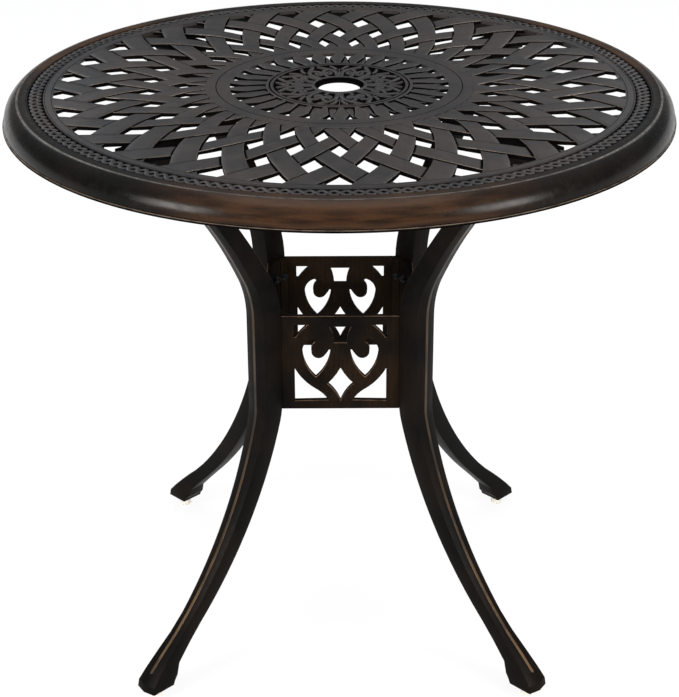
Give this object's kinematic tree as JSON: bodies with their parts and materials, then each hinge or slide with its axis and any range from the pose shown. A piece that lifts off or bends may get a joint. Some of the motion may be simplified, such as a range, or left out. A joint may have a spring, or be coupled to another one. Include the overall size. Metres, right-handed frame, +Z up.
{
  "type": "umbrella table",
  "caption": "Round cast-metal patio table with a woven openwork top, an umbrella hole, bowed legs and a waist of pierced scroll panels.",
  "frame": {"origin": "on the floor under the middle of the round top", "axes": "+Z up through the umbrella hole; -Y is the front, which the front panel faces; the legs stand on the diagonals"},
  "size_m": [0.7999, 0.8, 0.722],
  "materials": {
    "cast_bronze": "antique bronze powder coat, satin, rubbed lighter on the edges",
    "zinc_steel": "zinc plated",
    "nylon": "moulded, matt"
  },
  "bodies": {
    "frame": {"table_top": "cast_bronze", "leg_front_left": "cast_bronze", "leg_front_right": "cast_bronze", "leg_back_right": "cast_bronze", "leg_back_left": "cast_bronze", "panel_front": "cast_bronze", "panel_right": "cast_bronze", "panel_back": "cast_bronze", "panel_left": "cast_bronze", "leg_top_bolts": "zinc_steel", "leg_top_washers": "zinc_steel", "panel_screws": "zinc_steel", "panel_washers": "zinc_steel"},
    "glide_front_left": {"glide_pad_front_left": "nylon", "glide_stem_front_left": "zinc_steel"},
    "glide_front_right": {"glide_pad_front_right": "nylon", "glide_stem_front_right": "zinc_steel"},
    "glide_back_right": {"glide_pad_back_right": "nylon", "glide_stem_back_right": "zinc_steel"},
    "glide_back_left": {"glide_pad_back_left": "nylon", "glide_stem_back_left": "zinc_steel"}
  },
  "joints": [
    {"name": "glide_front_left_height", "type": "slide", "parent": "frame", "child": "glide_front_left", "axis": [0, 0, -1], "range_m": [0, 0.01]},
    {"name": "glide_front_right_height", "type": "slide", "parent": "frame", "child": "glide_front_right", "axis": [0, 0, -1], "range_m": [0, 0.01]},
    {"name": "glide_back_right_height", "type": "slide", "parent": "frame", "child": "glide_back_right", "axis": [0, 0, -1], "range_m": [0, 0.01]},
    {"name": "glide_back_left_height", "type": "slide", "parent": "frame", "child": "glide_back_left", "axis": [0, 0, -1], "range_m": [0, 0.01]}
  ]
}
